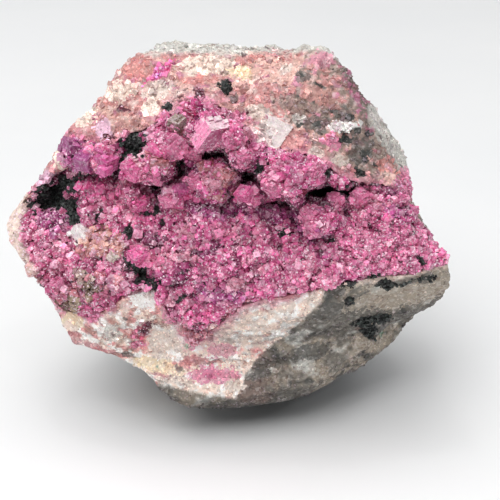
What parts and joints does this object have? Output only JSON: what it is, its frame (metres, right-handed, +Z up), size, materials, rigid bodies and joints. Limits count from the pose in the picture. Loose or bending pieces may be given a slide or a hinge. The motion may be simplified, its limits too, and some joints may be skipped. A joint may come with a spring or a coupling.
{
  "type": "cobaltoan calcite specimen",
  "caption": "Hand-sized chunk of pale dolomite rock with a crust of magenta calcite rhombs on its broken front, standing on a small flat foot.",
  "frame": {"origin": "bottom centre of the specimen's bounding box, on the plane of the flat it rests on", "axes": "+Z up as it rests, +X across its width to the viewer's right, -Y towards the viewer, the way the crystals face"},
  "size_m": [0.0918, 0.063, 0.0798],
  "materials": {
    "dolomite_rock": "rough broken",
    "cobaltoan_calcite": "glassy crystal"
  },
  "bodies": {
    "root": {"host_rock": "dolomite_rock", "crystal_crust": "cobaltoan_calcite"}
  },
  "joints": []
}
